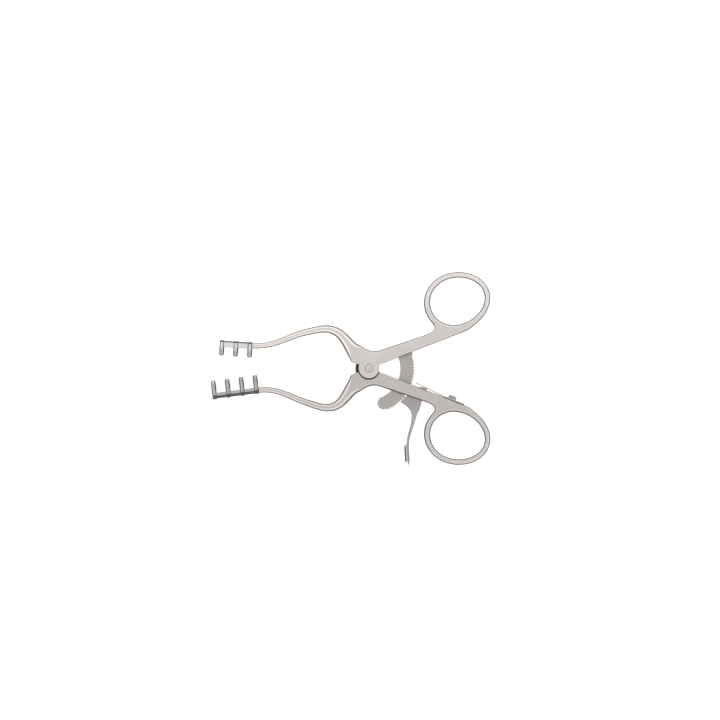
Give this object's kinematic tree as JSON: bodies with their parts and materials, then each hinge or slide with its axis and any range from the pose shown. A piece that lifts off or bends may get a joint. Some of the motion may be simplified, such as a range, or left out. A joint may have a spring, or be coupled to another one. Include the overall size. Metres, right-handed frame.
{
  "type": "self retaining retractor",
  "caption": "Hand-held surgical retractor with two finger-ring arms on a pivot, hooked rakes, a curved ratchet bar and a sprung release lever.",
  "frame": {"origin": "on the pivot axis, at the flat underside of the arms", "axes": "+X towards the finger rings, +Y towards the three prong arm, +Z towards the user, away from the prongs"},
  "size_m": [0.1285, 0.0885, 0.0173],
  "materials": {
    "arm_steel": "satin",
    "rake_steel": "satin",
    "ratchet_steel": "satin",
    "lever_steel": "satin",
    "spring_steel": "polished",
    "screw_steel": "polished"
  },
  "bodies": {
    "fixed_arm": {"lower_arm": "arm_steel", "four_prong_rake": "rake_steel", "lever_pin": "arm_steel", "leaf_spring": "spring_steel", "spring_screw": "screw_steel", "pivot_screw": "screw_steel"},
    "swing_arm": {"upper_arm": "arm_steel", "three_prong_rake": "rake_steel", "ratchet_bar": "ratchet_steel", "ratchet_rivets": "arm_steel"},
    "lever": {"release_lever": "lever_steel", "thumb_pad": "lever_steel"}
  },
  "joints": [
    {"name": "arm_pivot", "type": "hinge", "parent": "fixed_arm", "child": "swing_arm", "pos_m": [0, 0, 0.0024], "axis": [0, 0, -1], "range_deg": [-12, 36]},
    {"name": "release_lever_pivot", "type": "hinge", "parent": "fixed_arm", "child": "lever", "pos_m": [0.0212, -0.011, 0.0024], "axis": [0, 0, 1], "range_deg": [0, 12], "stiffness_Nm_per_rad": 0.03, "springref_deg": -8.59, "deforming": ["leaf_spring"]}
  ]
}
